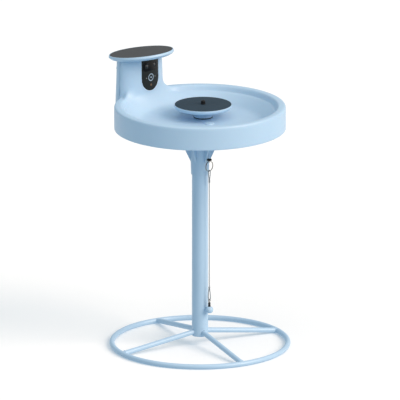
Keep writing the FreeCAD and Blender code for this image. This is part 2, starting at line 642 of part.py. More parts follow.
def make_fountain():
    """The solar disc with the pump under it, its impeller, filter and nozzle."""
    rim = "disc_r"
    top = "disc_top_z"
    low = "disc_low_z"
    finished("fountain_float", in_fountain(turned("float_shell", [
        ("pump_r - 4", low), (rim + " - 4", low, "1.2"), (rim, low + " + 4"), (rim, top + " - 1"),
        (rim + " - 0.8", top), ("disc_cell_r + 0.1", top), ("disc_cell_r + 0.1", top + " - 1.4"),
        ("riser_r + 0.3", top + " - 1.4"), ("riser_r + 0.3", top + " - 2.6"),
        (rim + " - 2.4", top + " - 2.6"), (rim + " - 2.4", low + " + 3.6"),
        (rim + " - 4.2", low + " + 1.8"), ("pump_r - 4", low + " + 1.8")])))
    finished("fountain_solar_disc", in_fountain(turned("float_cell", tube(
        "riser_r + 0.4", "disc_cell_r", top + " - 1.4", top + " - 0.1"))))
    inner = "pump_r - pump_wall"
    deck = "impeller_high_z + 1"
    base_top = "pump_foot_z + pump_base_wall"
    finished("pump_housing", in_fountain(turned("pump_shell", [
        (inner, base_top), ("pump_r", base_top), ("pump_r", low), ("riser_r", low),
        ("riser_r", "riser_top_z"), ("riser_bore_r", "riser_top_z"), ("riser_bore_r", deck),
        ("impeller_r + 1", deck), ("impeller_r + 1", "impeller_low_z + 1.5"),
        ("impeller_r + 3", "impeller_low_z + 1.5"), ("impeller_r + 3", deck + " + 2"),
        ("riser_r", deck + " + 2"), ("riser_r", low + " - 2"), (inner, low + " - 2")])))
    finished("motor_coil", in_fountain(turned("coil_ring", tube(
        "riser_r + 0.5", "pump_r - pump_wall - 2", deck + " + 2.2", low + " - 2.5"))))
    base = turned("pump_plate", disc("pump_r", "pump_foot_z", base_top))
    slots = []
    for i in range(8):
        slot = box(f"suction_slot_{i + 1}", "5", "2", "10", x="13", y="-1", z="pump_foot_z - 3")
        turn = Rotation(Z_AXIS, 45 * i + 22)
        start = turn.multVec(Vector(13, -1, value("pump_foot_z") - 3))
        for letter in "xyz":
            slot.setExpression("Placement.Base." + letter, None)
        slot.Placement = FreeCAD.Placement(start, turn)
        slots.append(slot)
    socket = cylinder("shaft_socket", "shaft_r", "10", z="pump_foot_z + 1")
    finished("pump_base", in_fountain(cut("pump_base_cut", base, socket, *slots)))
    finished("filter_sponge", in_fountain(turned("sponge_ring", tube(
        "impeller_r + 3.4", inner + " - 0.2", base_top, "impeller_high_z"))))
    finished("impeller_shaft", in_fountain(turned("shaft_pin", disc(
        "shaft_r", "pump_foot_z + 1", "impeller_high_z + 0.6"))))
    bore = "shaft_r + running_gap"
    hub = turned("impeller_hub", [
        (bore, "impeller_low_z"), ("impeller_r * 0.4", "impeller_low_z"),
        ("impeller_r * 0.4", "impeller_low_z + 4"), ("impeller_r", "impeller_low_z + 4"),
        ("impeller_r", "impeller_high_z"), (bore, "impeller_high_z")])
    blades = []
    for i in range(6):
        blade, _, _ = padded(f"blade_{i + 1}", "XZ_Plane", [
            ("impeller_r * 0.35", "impeller_low_z"), ("impeller_r", "impeller_low_z"),
            ("impeller_r", "impeller_low_z + 4.2"), ("impeller_r * 0.35", "impeller_low_z + 4.2")],
            "1")
        blade.Placement = FreeCAD.Placement(Vector(), Rotation(Z_AXIS, 60 * i))
        blades.append(blade)
    finished("impeller", in_fountain(fuse("impeller_solid", hub, *blades)))
    grip = "riser_r + running_gap"
    finished("fountain_nozzle", in_fountain(turned("nozzle_cap", [
        (grip, top + " + 0.4"), ("nozzle_r", top + " + 0.4"), ("nozzle_r", "nozzle_top_z - 2"),
        ("nozzle_r - 1.6", "nozzle_top_z"), ("1", "nozzle_top_z"), ("1", "riser_top_z + 0.5"),
        (grip, "riser_top_z + 0.5")])))


# ---------------------------------------------------------------- drain and its cord


def at_drain(thing):
    return at(thing, y="drain_y")


def coil(name, radius, wire, low, high, turns):
    """A coil spring: half rings, each tilted so that it runs smoothly on into the next."""
    rise = f"(({high}) - ({low})) / {2 * turns}"
    tilt = math.degrees(math.atan(value(rise) / 2 / value(radius)))
    halves = []
    for i in range(2 * turns):
        half = doc.addObject("Part::Torus", f"{name}_{i + 1}")
        bind(half, Radius1=f"(({radius}) ^ 2 + ({rise} / 2) ^ 2) ^ 0.5", Radius2=wire)
        half.Angle3 = 180
        upward = Rotation(Y_AXIS, tilt)
        if i % 2:
            upward = Rotation(Y_AXIS, -tilt) * Rotation(Z_AXIS, 180)
        halves.append(at(half, z=f"{low} + {rise} * {i + 0.5}", turn=upward))
    return fuse(name, *halves)


def make_drain():
    """The spring-closed drain valve: pulling its stem down opens it."""
    seal_low = "poppet_low_z + poppet_wall"
    stem = turned("poppet_turned", [
        ("0", "stem_cap_low_z + 2"), ("stem_r", "stem_cap_low_z + 2"), ("stem_r", "poppet_low_z"),
        ("poppet_r", "poppet_low_z"), ("poppet_r", seal_low), ("drain_hole_r - 0.6", seal_low),
        ("drain_hole_r - 1.4", "floor_z - 1.6"), ("0", "floor_z - 1.2")])
    finished("drain_poppet", at_drain(stem))
    finished("poppet_seal", at_drain(turned("seal_washer", tube(
        "drain_hole_r - 0.5", "poppet_r", seal_low, "floor_z - floor_wall - 0.3"))))
    guide = turned("guide_disc", tube("stem_r + running_gap", "chamber_r", "chamber_foot_z",
                                      "chamber_foot_z + guide_wall"))
    holes = [cylinder(f"guide_hole_{i}", "1.7", "20", x=str(x), y=str(y), z="chamber_foot_z - 5")
             for i, (x, y) in enumerate(around(6, 6, 0), start=1)]
    finished("drain_guide", at_drain(cut("guide_cut", guide, *holes)))
    strainer = turned("strainer_disc", [
        ("0", "floor_z + 1.6"), ("9", "floor_z + 0.9"), ("9", "floor_z"), ("12", "floor_z + 0.1"),
        ("11", "floor_z + 2"), ("0", "floor_z + 3.4")])
    slots = [cylinder(f"strainer_hole_{i}", "1.1", "10", x=str(x), y=str(y), z="floor_z - 2")
             for i, (x, y) in enumerate(around(8, 6.6, 0) + around(4, 3.2, 45), start=1)]
    finished("drain_strainer", at_drain(cut("strainer_cut", strainer, *slots)))

    spring = coil("spring_coil", "spring_r", "spring_wire_r",
                  "chamber_foot_z + guide_wall + spring_wire_r + slide_gap",
                  "poppet_low_z - spring_wire_r - slide_gap", int(value("spring_turns")))
    finished("drain_spring", at_drain(spring))

    lug = box("stem_lug", "3", "6.4", "stem_cap_high_z - stem_cap_low_z + 3", x="-1.5", y="-3.2",
              z="pull_pivot_z - 3.6")
    cap = turned("stem_cap_turned", disc("stem_cap_r", "stem_cap_low_z", "stem_cap_high_z"))
    eye = cylinder("lug_eye", "ring_wire_r + 0.8", "12", x="-6", z="pull_pivot_z",
                   turn=Rotation(Z_AXIS, X_AXIS))
    stem_room = cylinder("stem_room", "stem_r", "20", z="stem_cap_low_z + 2")
    finished("stem_end_cap", at_drain(cut("stem_cap_cut", fuse("stem_cap_solid", cap, lug), eye,
                                          stem_room)))


def loop_tube(name, arc_z, straight_to, half, upward):
    """A loop of cord: a turn in the YZ plane whose two ends run straight into a knot."""
    sign = 1 if upward else -1
    radius = value(half)
    centre = Vector(0, 0, value(arc_z))
    knot_half = value("cord_r") * 1.1
    away = abs(value(straight_to) - centre.z)
    reach = math.hypot(knot_half, away)
    lean = math.asin(radius / reach) - math.atan(knot_half / away)
    sides = [centre + Vector(0, side * radius * math.cos(lean), -sign * radius * math.sin(lean))
             for side in (-1, 1)]
    ends = [Vector(0, side * knot_half, value(straight_to) + sign * 0.2) for side in (-1, 1)]
    path = Part.Wire([
        Part.LineSegment(ends[0], sides[0]).toShape(),
        Part.Arc(sides[0], centre + Vector(0, 0, sign * radius), sides[1]).toShape(),
        Part.LineSegment(sides[1], ends[1]).toShape()])
    section = Part.Wire(Part.makeCircle(value("cord_r"), ends[0], sides[0] - ends[0]))
    loop = doc.addObject("Part::Feature", name)
    loop.Shape = path.makePipeShell([section], True, True)
    loop.Placement = FreeCAD.Placement(Vector(0, value("drain_y"), 0), Rotation())
    print(f"{name}: arc radius {radius:.1f}, volume over section times length "
          f"{loop.Shape.Volume / (math.pi * value('cord_r') ** 2 * path.Length):.3f}")
    return loop


def knot(name, low, high):
    return at_drain(turned(name, [
        ("0", low), ("cord_r * 1.2", low), ("knot_r", low + " + knot_r * 0.7"),
        ("knot_r", high + " - knot_r * 0.7"), ("cord_r * 2.1", high), ("0", high)]))


def make_pull():
    """The ring on the valve's stem, the cord with a loop at each end, and the ball."""
    ring = doc.addObject("Part::Torus", "pull_ring_bar")
    bind(ring, Radius1="ring_r", Radius2="ring_wire_r")
    finished("pull_ring", at(ring, y="drain_y", z="pull_pivot_z - ring_r",
                             turn=Rotation(Z_AXIS, Y_AXIS)))
    ring_foot = "pull_pivot_z - ring_r * 2"
    finished("upper_loop", loop_tube("upper_loop_tube", ring_foot + " - 0.9", "upper_knot_top_z",
                                     "loop_half", True))
    finished("upper_knot", knot("upper_knot_solid", "cord_top_z", "upper_knot_top_z"))
    finished("pull_cord", cylinder("cord_rod", "cord_r", "cord_top_z - cord_foot_z",
                                   y="drain_y", z="cord_foot_z"))
    finished("lower_knot", knot("lower_knot_solid", "lower_knot_foot_z", "cord_foot_z"))
    finished("lower_loop", loop_tube("lower_loop_tube", "eye_z + eye_r + 1", "lower_knot_foot_z",
                                     "loop_half", False))

    eye = doc.addObject("Part::Torus", "swivel_ring")
    bind(eye, Radius1="eye_r", Radius2="eye_wire_r")
    at(eye, z="eye_z", turn=Rotation(Z_AXIS, Y_AXIS))
    shank_top = "eye_z - eye_r"
    shank = turned("swivel_shank", [
        ("0", "barrel_foot_z + 3"), ("1.7", "barrel_foot_z + 3"), ("1.7", "barrel_foot_z + 5"),
        ("1", "barrel_foot_z + 5"), ("1", shank_top), ("0", shank_top)])
    finished("swivel_eye", at_drain(fuse("swivel_solid", eye, shank)))
    finished("swivel_barrel", at_drain(turned("barrel_turned", [
        ("0", "barrel_foot_z"), ("barrel_r", "barrel_foot_z"), ("barrel_r", "barrel_top_z"),
        ("1 + running_gap", "barrel_top_z"), ("1 + running_gap", "barrel_foot_z + 5.4"),
        ("2", "barrel_foot_z + 5.4"), ("2", "barrel_foot_z + 2.6"), ("0", "barrel_foot_z + 2.6")])))
    ball = turned("ball_turned", [
        ("0", "ball_z - ball_half_high"), ("3", "ball_z - ball_half_high", "2.3"),
        ("ball_r", "ball_z", "2.3"), ("3", "ball_z + ball_half_high"),
        ("0", "ball_z + ball_half_high")])
    stub = cylinder("ball_socket", "barrel_r", "20", z="barrel_foot_z")
    finished("pull_ball", at_drain(cut("ball_cut", ball, stub)))


# ---------------------------------------------------------------- build, test and write

make_stand()
make_hub()
tower_rooms = make_tower_rooms()
make_basin(tower_rooms, make_faceplate(tower_rooms))
make_tower_inside()
make_rear_cover(tower_rooms)
make_controls()
make_panel(tower_rooms)
make_fountain()
make_drain()
make_pull()
doc.recompute()

faults = [f"{thing.Name}: {thing.State}" for thing in doc.Objects
          if "Invalid" in thing.State or "Error" in thing.State]
faults += [f"{node}: no valid shape" for node, thing in parts.items()
           if thing.Shape.isNull() or not thing.Shape.isValid() or not thing.Shape.Solids]
if faults:
    raise RuntimeError("; ".join(faults))

os.makedirs("parts", exist_ok=True)
for node, thing in parts.items():
    thing.Shape.exportStep(f"parts/{node}.step")
    room = thing.Shape.BoundBox
    print(f"{node:22s} {len(thing.Shape.Solids)} solid(s) {thing.Shape.Volume:11.1f} mm3 "
          f"x {room.XMin:7.1f} {room.XMax:7.1f}  y {room.YMin:7.1f} {room.YMax:7.1f} "
          f"z {room.ZMin:7.1f} {room.ZMax:7.1f}")
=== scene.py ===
import json
import math

import bmesh
import bpy
import numpy as np
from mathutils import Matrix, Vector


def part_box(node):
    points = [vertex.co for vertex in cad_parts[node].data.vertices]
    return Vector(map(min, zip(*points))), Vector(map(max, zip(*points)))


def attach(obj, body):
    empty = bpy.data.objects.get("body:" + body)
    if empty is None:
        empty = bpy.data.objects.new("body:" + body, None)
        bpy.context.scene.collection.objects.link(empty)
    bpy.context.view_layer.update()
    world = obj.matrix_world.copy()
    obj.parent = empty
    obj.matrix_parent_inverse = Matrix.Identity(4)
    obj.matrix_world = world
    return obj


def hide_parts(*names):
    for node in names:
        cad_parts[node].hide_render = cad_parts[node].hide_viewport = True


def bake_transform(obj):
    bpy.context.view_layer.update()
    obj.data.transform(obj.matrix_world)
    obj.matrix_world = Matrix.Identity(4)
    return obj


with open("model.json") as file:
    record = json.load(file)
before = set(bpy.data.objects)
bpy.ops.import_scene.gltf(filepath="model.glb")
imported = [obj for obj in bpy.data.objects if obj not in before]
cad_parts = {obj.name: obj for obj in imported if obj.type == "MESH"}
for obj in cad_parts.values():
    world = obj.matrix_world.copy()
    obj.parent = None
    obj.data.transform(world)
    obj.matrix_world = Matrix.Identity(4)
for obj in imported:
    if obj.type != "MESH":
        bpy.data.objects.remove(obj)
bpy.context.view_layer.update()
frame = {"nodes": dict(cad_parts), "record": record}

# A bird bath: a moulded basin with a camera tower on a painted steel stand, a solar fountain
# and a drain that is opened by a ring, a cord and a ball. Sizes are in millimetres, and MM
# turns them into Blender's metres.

import openvdb
from mathutils import Matrix, Vector

MM = 0.001
nodes = frame["nodes"]


def low(node):
    """A CAD node's lowest corner at rest, in millimetres."""
    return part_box(node)[0] / MM


def high(node):
    """A CAD node's highest corner at rest, in millimetres."""
    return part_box(node)[1] / MM


def middle(node):
    """The middle of a CAD node's box at rest, in millimetres."""
    return (low(node) + high(node)) / 2


# ---------------------------------------------------------------- camera

CAMERA_AZIMUTH = math.radians(-48)
CAMERA_RISE = math.radians(15.7)
CAMERA_AIM = Vector((0, 0, 0.351))
CAMERA_LENS = 1100
VIEW_WIDTH = 0.933

camera_data = bpy.data.cameras.new("camera")
camera_data.lens = CAMERA_LENS
camera_data.clip_end = 200
camera = bpy.data.objects.new("camera", camera_data)
bpy.context.scene.collection.objects.link(camera)
bpy.context.scene.camera = camera
towards_camera = Vector((
    math.sin(CAMERA_AZIMUTH) * math.cos(CAMERA_RISE),
    -math.cos(CAMERA_AZIMUTH) * math.cos(CAMERA_RISE),
    math.sin(CAMERA_RISE)))
camera.location = CAMERA_AIM + towards_camera * (
    VIEW_WIDTH * CAMERA_LENS / camera_data.sensor_width)
camera.rotation_mode = "QUATERNION"
camera.rotation_quaternion = (-towards_camera).to_track_quat("-Z", "Y")


# ---------------------------------------------------------------- finishes


def srgb(red, green, blue):
    """A colour as a screen shows it, from 0 to 255, in the linear values that shaders take."""
    shares = [channel / 255 for channel in (red, green, blue)]
    return [share / 12.92 if share <= 0.04045 else ((share + 0.055) / 1.055) ** 2.4
            for share in shares]


def rgba(colour, factor=1.0):
    """A colour made lighter or darker by a factor, with an alpha of 1."""
    return [min(channel * factor, 1.0) for channel in colour] + [1.0]


def place(tree, stretch=(1, 1, 1), turn=(0, 0, 0)):
    """The surface's own coordinates, stretched and turned."""
    coordinates = tree.nodes.new("ShaderNodeTexCoord")
    mapping = tree.nodes.new("ShaderNodeMapping")
    mapping.inputs["Scale"].default_value = stretch
    mapping.inputs["Rotation"].default_value = [math.radians(angle) for angle in turn]
    tree.links.new(coordinates.outputs["Object"], mapping.inputs["Vector"])
    return mapping.outputs["Vector"]


def noise(tree, scale, detail=3.0, **where):
    """Soft noise on the surface, mostly between 0.3 and 0.7."""
    texture = tree.nodes.new("ShaderNodeTexNoise")
    texture.inputs["Scale"].default_value = scale
    texture.inputs["Detail"].default_value = detail
    tree.links.new(place(tree, **where), texture.inputs["Vector"])
    return texture.outputs["Fac"]


def spread(tree, value, to_low, to_high, from_low=0.3, from_high=0.7):
    """A value's usual range moved to another range."""
    ranged = tree.nodes.new("ShaderNodeMapRange")
    for socket, number in (("From Min", from_low), ("From Max", from_high),
                           ("To Min", to_low), ("To Max", to_high)):
        ranged.inputs[socket].default_value = number
    tree.links.new(value, ranged.inputs["Value"])
    return ranged.outputs["Result"]


def calculate(tree, operation, first, second):
    """A math node on a socket and a number or two sockets."""
    node = tree.nodes.new("ShaderNodeMath")
    node.operation = operation
    for socket, source in zip(node.inputs, (first, second)):
        if isinstance(source, (int, float)):
            socket.default_value = source
        else:
            tree.links.new(source, socket)
    return node.outputs["Value"]


def stripes(tree, axis, spacing, width, **where):
    """1 on thin lines across an axis, at an even spacing in metres, and 0 between them."""
    split = tree.nodes.new("ShaderNodeSeparateXYZ")
    tree.links.new(place(tree, **where), split.inputs["Vector"])
    nearest = calculate(tree, "PINGPONG", split.outputs[axis], spacing / 2)
    return calculate(tree, "LESS_THAN", nearest, width / 2)


def mixed(tree, factor, first, second):
    """A colour between two others; each is a colour or a socket."""
    mix = tree.nodes.new("ShaderNodeMix")
    mix.data_type = "RGBA"
    tree.links.new(factor, mix.inputs["Factor"])
    for socket, source in ((mix.inputs["A"], first), (mix.inputs["B"], second)):
        if isinstance(source, (list, tuple)):
            socket.default_value = source
        else:
            tree.links.new(source, socket)
    return next(out for out in mix.outputs if out.type == "RGBA")


def bump(tree, height, distance, onto=None):
    """A normal that a height of 0 to 1 raises by a distance, on top of another normal."""
    node = tree.nodes.new("ShaderNodeBump")
    node.inputs["Distance"].default_value = distance
    node.inputs["Strength"].default_value = 1.0
    tree.links.new(height, node.inputs["Height"])
    if onto is not None:
        tree.links.new(onto, node.inputs["Normal"])
    return node.outputs["Normal"]


def finish_material(name, colour, rough, drift=0.05, drift_scale=9, gloss_swing=0.05,
                    gloss_scale=60, grain_scale=1500, grain_depth=0.02 * MM, stretch=(1, 1, 1),
                    bevel=0.0, pattern=None, **constants):
    """A surface whose colour drifts a little, whose gloss is uneven, with a fine grain.

    pattern(tree, colour socket) may draw on the colour, and returns it with a height or None.
    """
    material = bpy.data.materials.new(name)
    material.use_nodes = True
    tree = material.node_tree
    shader = tree.nodes["Principled BSDF"]
    drifting = mixed(tree, spread(tree, noise(tree, drift_scale), 0, 1),
                     rgba(colour, 1 - drift), rgba(colour, 1 + drift))
    height = None
    if pattern is not None:
        drifting, height = pattern(tree, drifting)
    tree.links.new(drifting, shader.inputs["Base Color"])
    gloss = noise(tree, gloss_scale, stretch=stretch)
    tree.links.new(spread(tree, gloss, rough - gloss_swing, rough + gloss_swing),
                   shader.inputs["Roughness"])
    rounding = None
    if bevel:
        edge = tree.nodes.new("ShaderNodeBevel")
        edge.inputs["Radius"].default_value = bevel
        rounding = edge.outputs["Normal"]
    grained = bump(tree, noise(tree, grain_scale, 2.0, stretch=stretch), grain_depth,
                   onto=rounding)
    if height is not None:
        grained = bump(tree, height, 0.15 * MM, onto=grained)
    tree.links.new(grained, shader.inputs["Normal"])
    for socket, number in constants.items():
        shader.inputs[socket.replace("_", " ")].default_value = number
    return material


def solar_pattern(cell, finger):
    """Cells in rows with fine bright fingers across them, under a dark laminate."""
    def draw(tree, colour):
        joints = calculate(tree, "MAXIMUM", stripes(tree, "X", cell, 0.5 * MM),
                           stripes(tree, "Y", cell, 0.5 * MM))
        fingers = stripes(tree, "X", finger, finger * 0.22)
        fine = mixed(tree, calculate(tree, "MULTIPLY", fingers, 0.3), colour,
                     rgba(srgb(76, 78, 82)))
        return mixed(tree, calculate(tree, "MULTIPLY", joints, 0.3), fine,
                     rgba(srgb(88, 92, 98))), None
    return draw


def laminate(name, colour, cell, drift):
    """The dull laminate over solar cells of a size in metres."""
    return finish_material(
        name, colour, 0.8, drift=drift, drift_scale=30, grain_scale=900,
        grain_depth=0.012 * MM, pattern=solar_pattern(cell, 2 * MM), Specular_IOR_Level=0.2)


def braid_pattern(tree, colour):
    """Two crossing sets of slanted strands, with painted shade in the gaps between them."""
    one = stripes(tree, "Z", 0.9 * MM, 0.25 * MM, turn=(35, 0, 0))
    other = stripes(tree, "Z", 0.9 * MM, 0.25 * MM, turn=(-35, 0, 0))
    gaps = calculate(tree, "MAXIMUM", one, other)
    # Painted shade: the gaps between the strands are drawn darker, and the bump also sinks them.
    return mixed(tree, gaps, colour, rgba(srgb(104, 110, 116))), calculate(
        tree, "SUBTRACT", 1.0, gaps)


def winding_pattern(tree, colour):
    """Turns of enamelled wire, with painted shade in the grooves between the turns."""
    gaps = stripes(tree, "Z", 0.5 * MM, 0.14 * MM)
    # Painted shade: the grooves between the turns are drawn dark brown, and the bump also sinks
    # them.
    return mixed(tree, gaps, colour, rgba(srgb(70, 34, 18))), calculate(
        tree, "SUBTRACT", 1.0, gaps)


def board_pattern(tree, colour):
    """Copper tracks under a solder mask."""
    tracks = calculate(tree, "MAXIMUM", stripes(tree, "X", 3.1 * MM, 0.5 * MM),
                       stripes(tree, "Z", 4.3 * MM, 0.4 * MM))
    return mixed(tree, tracks, colour, rgba(srgb(58, 130, 74))), tracks


def foam_pattern(tree, colour):
    """Open cells, whose pits are sunk by a bump and darkened with painted shade."""
    cells = tree.nodes.new("ShaderNodeTexVoronoi")
    cells.inputs["Scale"].default_value = 900
    tree.links.new(place(tree), cells.inputs["Vector"])
    depth = cells.outputs["Distance"]
    # Painted shade: the pits at the cells' middles are drawn near black.
    return mixed(tree, spread(tree, depth, 0, 1, 0, 0.6), rgba(srgb(16, 16, 18)), colour), depth


PALE_BLUE = srgb(178, 206, 229)
finishes = {
    "stand_paint": finish_material(
        "stand_paint", PALE_BLUE, 0.36, drift=0.025, grain_scale=700, grain_depth=0.05 * MM,
        bevel=0.5 * MM, Coat_Weight=0.15, Coat_Roughness=0.3),
    "blue_plastic": finish_material(
        "blue_plastic", PALE_BLUE, 0.42, drift=0.025, drift_scale=6, grain_scale=1800,
        bevel=0.8 * MM, Subsurface_Weight=0.04, Subsurface_Scale=0.004),
    "black_plastic": finish_material(
        "black_plastic", srgb(26, 27, 30), 0.45, drift=0.12, grain_scale=2200, bevel=0.3 * MM,
        Specular_IOR_Level=0.3),
    "face_plastic": finish_material(
        "face_plastic", srgb(28, 33, 32), 0.5, drift=0.06, grain_scale=2600,
        grain_depth=0.03 * MM, bevel=0.4 * MM, Specular_IOR_Level=0.2),
    "window_glass": finish_material(
        "window_glass", srgb(14, 13, 13), 0.12, drift=0.1, gloss_swing=0.02,
        grain_scale=200, grain_depth=0.002 * MM, Specular_IOR_Level=0.16),
    "white_plastic": finish_material(
        "white_plastic", srgb(232, 236, 240), 0.35, drift=0.02, bevel=0.2 * MM),
    "solar_cells": laminate("panel_laminate", srgb(80, 80, 81), 26 * MM, drift=0.06),
    "seal_rubber": finish_material(
        "seal_rubber", srgb(120, 146, 168), 0.7, drift=0.08, grain_scale=1200,
        grain_depth=0.06 * MM, bevel=0.3 * MM),
    "steel": finish_material(
        "steel", srgb(150, 146, 142), 0.3, drift=0.1, gloss_swing=0.08, gloss_scale=500,
        stretch=(1, 1, 0.08), grain_scale=900, bevel=0.2 * MM, Metallic=1.0),
    "cord_grey": finish_material(
        "cord_grey", srgb(176, 182, 188), 0.75, drift=0.06, pattern=braid_pattern,
        Sheen_Weight=0.3, Sheen_Roughness=0.5),
    "board_green": finish_material(
        "board_green", srgb(24, 92, 48), 0.3, pattern=board_pattern),
    "cell_wrap": finish_material(
        "cell_wrap", srgb(38, 86, 152), 0.28, drift=0.1, gloss_swing=0.1),
    "copper": finish_material(
        "copper", srgb(184, 108, 66), 0.3, pattern=winding_pattern, Metallic=1.0),
    "sponge": finish_material(
        "sponge", srgb(52, 52, 56), 0.9, pattern=foam_pattern),
}

# Finishes of single pieces that look unlike the rest of their slot.
FOUNTAIN_LAMINATE = laminate("fountain_laminate", srgb(47, 64, 77), 22 * MM, drift=0.07)
RING_STEEL = finish_material("ring_steel", srgb(104, 98, 92), 0.32, drift=0.1,
                             gloss_swing=0.08, gloss_scale=500, Metallic=1.0)
LENS_GLASS = finish_material("lens_glass", srgb(8, 8, 10), 0.06, gloss_swing=0.01,
                             grain_scale=200, grain_depth=0.001 * MM, Specular_IOR_Level=1.0)
LIT_MARK = finish_material("lit_mark", srgb(150, 170, 186), 0.4, drift=0.03)
UNLIT_MARK = finish_material("unlit_mark", srgb(118, 122, 124), 0.4, drift=0.03)
AMBER_LENS = finish_material("amber_lens", srgb(96, 74, 52), 0.3, drift=0.08)


# ---------------------------------------------------------------- pieces


def settle(piece, body, slot, *replaced, finish=None):
    """Give a new piece its finish, its body and the CAD nodes that it stands for."""
    piece.data.materials.clear()
    piece.data.materials.append(finish or finishes[slot])
    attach(piece, body)
    if replaced:
        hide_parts(*replaced)
    return piece


def mesh_object(name, points, faces, crease=40):
    """A smooth-shaded mesh from points in millimetres, sharp where it turns by over crease."""
    mesh = bpy.data.meshes.new(name)
    mesh.from_pydata([Vector(point) * MM for point in points], [], faces)
    mesh.validate()
    mesh.shade_smooth()
    mesh.set_sharp_from_angle(angle=math.radians(crease))
    piece = bpy.data.objects.new(name, mesh)
    bpy.context.scene.collection.objects.link(piece)
    return piece


def rounded(corners, steps=5):
    """An outline's points; a corner's third number, where it has one, is its rounding."""
    points = []
    for i, corner in enumerate(corners):
        here = Vector(corner[:2])
        if len(corner) == 2:
            points.append(here)
            continue
        back = Vector(corners[i - 1][:2]) - here
        on = Vector(corners[(i + 1) % len(corners)][:2]) - here
        reach = corner[2] / math.tan(back.angle(on) / 2)
        start = here + back.normalized() * reach
        end = here + on.normalized() * reach
        for step in range(steps + 1):
            share = step / steps
            points.append(start.lerp(here, share).lerp(here.lerp(end, share), share))
    return points


def lathe(name, corners, centre, tilt=0.0, steps=96, crease=40):
    """A closed outline of radii and heights turned about an upright or tilted axis."""
    outline = rounded(corners)
    turn = Matrix.Rotation(math.radians(tilt), 3, "X")
    points = []
    rings = []
    for radius, height in outline:
        count = 1 if radius < 1e-6 else steps
        rings.append(range(len(points), len(points) + count))
        for step in range(count):
            angle = 2 * math.pi * step / steps
            local = Vector((radius * math.cos(angle), radius * math.sin(angle), height))
            points.append(Vector(centre) + turn @ local)
    faces = []
    for ring, after in zip(rings, rings[1:] + rings[:1]):
        for step in range(steps):
            corners_here = [ring[step % len(ring)], ring[(step + 1) % len(ring)],
                            after[(step + 1) % len(after)], after[step % len(after)]]
            face = list(dict.fromkeys(corners_here))
            if len(face) > 2:
                faces.append(face)
    piece = mesh_object(name, points, faces, crease)
    outward(piece)
    return piece


def outward(piece):
    """Turn every face's normal outwards."""
    work = bmesh.new()
    work.from_mesh(piece.data)
    bmesh.ops.recalc_face_normals(work, faces=work.faces)
    work.to_mesh(piece.data)
    work.free()


def wire(name, paths, radius, closed=False, sides=4):
    """Tubes of one radius along paths of points in millimetres, as one mesh."""
    curve = bpy.data.curves.new(name, "CURVE")
    curve.dimensions = "3D"
    curve.bevel_depth = radius * MM
    curve.bevel_resolution = sides
    curve.use_fill_caps = True
    for path in paths:
        spline = curve.splines.new("POLY")
        spline.points.add(len(path) - 1)
        for spot, point in zip(spline.points, path):
            spot.co = (*(Vector(point) * MM), 1)
        spline.use_cyclic_u = closed
    source = bpy.data.objects.new(name, curve)
    mesh = bpy.data.meshes.new_from_object(source)
    bpy.data.objects.remove(source)
    mesh.name = name
    mesh.shade_smooth()
    mesh.set_sharp_from_angle(angle=math.radians(50))
    piece = bpy.data.objects.new(name, mesh)
    bpy.context.scene.collection.objects.link(piece)
    return piece


# ---------------------------------------------------------------- ring, cord and ball

drain = middle("stem_end_cap")
CORD_WIDE = 2.0
RING_WIRE_R = 1.1
EYE_R = 3


def about_drain(radius, angle, z):
    """A point at an angle round the drain's upright axis."""
    return drain.x + radius * math.cos(angle), drain.y + radius * math.sin(angle), z


def coil_knot(name, node, turns=4):
    """A knot: a few tight turns of the cord about itself, with a tucked end."""
    foot, top = low(node).z + 1, high(node).z - 1
    steps = 14 * turns
    path = []
    for step in range(steps + 1):
        share = step / steps
        angle = 2 * math.pi * turns * share
        reach = 1.45 * math.sin(math.pi * min(max(share, 0.12), 0.88)) ** 0.4
        path.append(about_drain(reach, angle, foot + (top - foot) * share))
    return settle(wire(name, [path], CORD_WIDE * 0.46), "pull", "cord_grey", node)


def split_ring():
    """A sprung steel ring of two flat turns side by side."""
    centre = middle("pull_ring")
    radius = (high("pull_ring").x - low("pull_ring").x) / 2 - RING_WIRE_R
    path = []
    turns = 1.93
    steps = 96
    for step in range(int(steps * turns) + 1):
        angle = 2 * math.pi * step / steps + 0.4
        across = min(max((angle - 2 * math.pi) / 0.5, -1), 1) * RING_WIRE_R / 2
        path.append(centre + Vector((radius * math.sin(angle), across, radius * math.cos(angle))))
    return settle(wire("split_ring", [path], 0.54), "pull", "steel", "pull_ring",
                  finish=RING_STEEL)


def swivel_eye():
    """A small wire eye on a turned shank with a collar."""
    foot, top = low("swivel_eye").z, high("swivel_eye").z
    ring_z = top - 4
    ring = [(drain.x + EYE_R * math.cos(angle), drain.y, ring_z + EYE_R * math.sin(angle))
            for angle in np.linspace(0, 2 * math.pi, 40, endpoint=False)]
    eye = wire("swivel_eye_wire", [ring], 1.0, closed=True)
    shank = lathe("swivel_shank", [
        (0, foot), (1.7, foot, 0.2), (1.7, foot + 2), (1.0, foot + 2), (1.0, ring_z - 3.4),
        (1.5, ring_z - 3.2, 0.3), (1.2, ring_z - 2.2), (0, ring_z - 2.2)],
        (drain.x, drain.y, 0), steps=32)
    settle(shank, "pull", "steel")
    return settle(eye, "pull", "steel", "swivel_eye"), shank


def swivel_barrel():
    """The black barrel that turns on the shank, with a groove round it."""
    foot, top = low("swivel_barrel").z, high("swivel_barrel").z
    piece = lathe("swivel_body", [
        (0, foot), (2.9, foot), (2.9, foot + 3.6, 0.2), (2.5, foot + 4.0, 0.1),
        (2.5, foot + 4.4, 0.1), (2.9, foot + 4.8, 0.2), (2.9, top - 1.4, 0.5),
        (2.2, top, 0.4), (1.1, top), (1.1, foot + 6), (0, foot + 6)],
        (drain.x, drain.y, 0), steps=40)
    return settle(piece, "ball", "black_plastic", "swivel_barrel")


